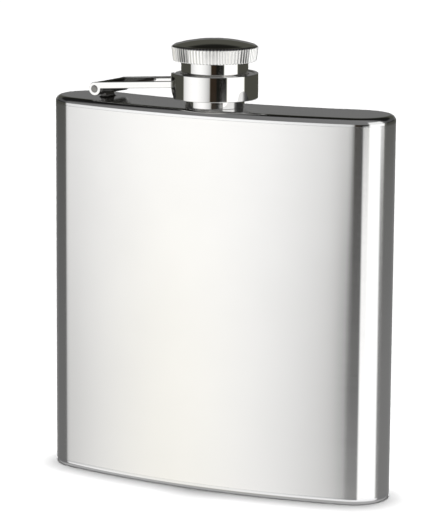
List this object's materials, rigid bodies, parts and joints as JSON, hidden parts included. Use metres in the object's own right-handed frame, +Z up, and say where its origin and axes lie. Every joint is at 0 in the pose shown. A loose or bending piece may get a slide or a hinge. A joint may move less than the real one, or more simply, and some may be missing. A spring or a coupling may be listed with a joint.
{
  "type": "hip flask",
  "caption": "Curved slim stainless hip flask with a knurled captive screw cap on a hinged two-legged arm.",
  "frame": {"origin": "centre of the whole object's plan box, on the plane the flask stands on", "axes": "+Z up along the neck, +X along the body's width with the cap's hinge on the -X side, +Y out of the hollow side that rests on the hip"},
  "size_m": [0.095, 0.025, 0.116],
  "materials": {
    "polished_steel": "fine horizontal satin grain, near polished",
    "brushed_plate": "brushed satin",
    "turned_steel": "turned and polished",
    "pin_steel": "riveted, dull",
    "arm_steel": "polished strip",
    "spring_steel": "spring temper",
    "cap_steel": "polished, knurled rim",
    "insert_plastic": "moulded",
    "seal_rubber": "soft silicone"
  },
  "bodies": {
    "root": {"body_sleeve": "polished_steel", "shoulder_plate": "brushed_plate", "base_plate": "brushed_plate", "neck": "turned_steel", "hinge_bracket": "turned_steel"},
    "arm": {"cap_arm": "arm_steel", "hinge_pin": "pin_steel", "swivel_collar": "turned_steel"},
    "ring": {"retaining_ring": "spring_steel"},
    "cap": {"cap_shell": "cap_steel", "thread_insert": "insert_plastic", "seal_washer": "seal_rubber"}
  },
  "joints": [
    {"name": "arm_swing", "type": "hinge", "parent": "root", "child": "arm", "pos_m": [-0.03205, 0.00169, 0.1015], "axis": [-0.0967, -0.9953, 0], "range_deg": [0, 176]},
    {"name": "cap_rise", "type": "slide", "parent": "arm", "child": "ring", "axis": [0, 0, 1], "range_m": [0, 0.003]},
    {"name": "cap_turn", "type": "hinge", "parent": "ring", "child": "cap", "pos_m": [0, -0.00142, 0.1108], "axis": [0, 0, 1], "range_deg": [0, 720]}
  ],
  "couplings": [
    {"joint": "cap_rise", "follows": "cap_turn", "m_per_rad": 0.00023873}
  ]
}
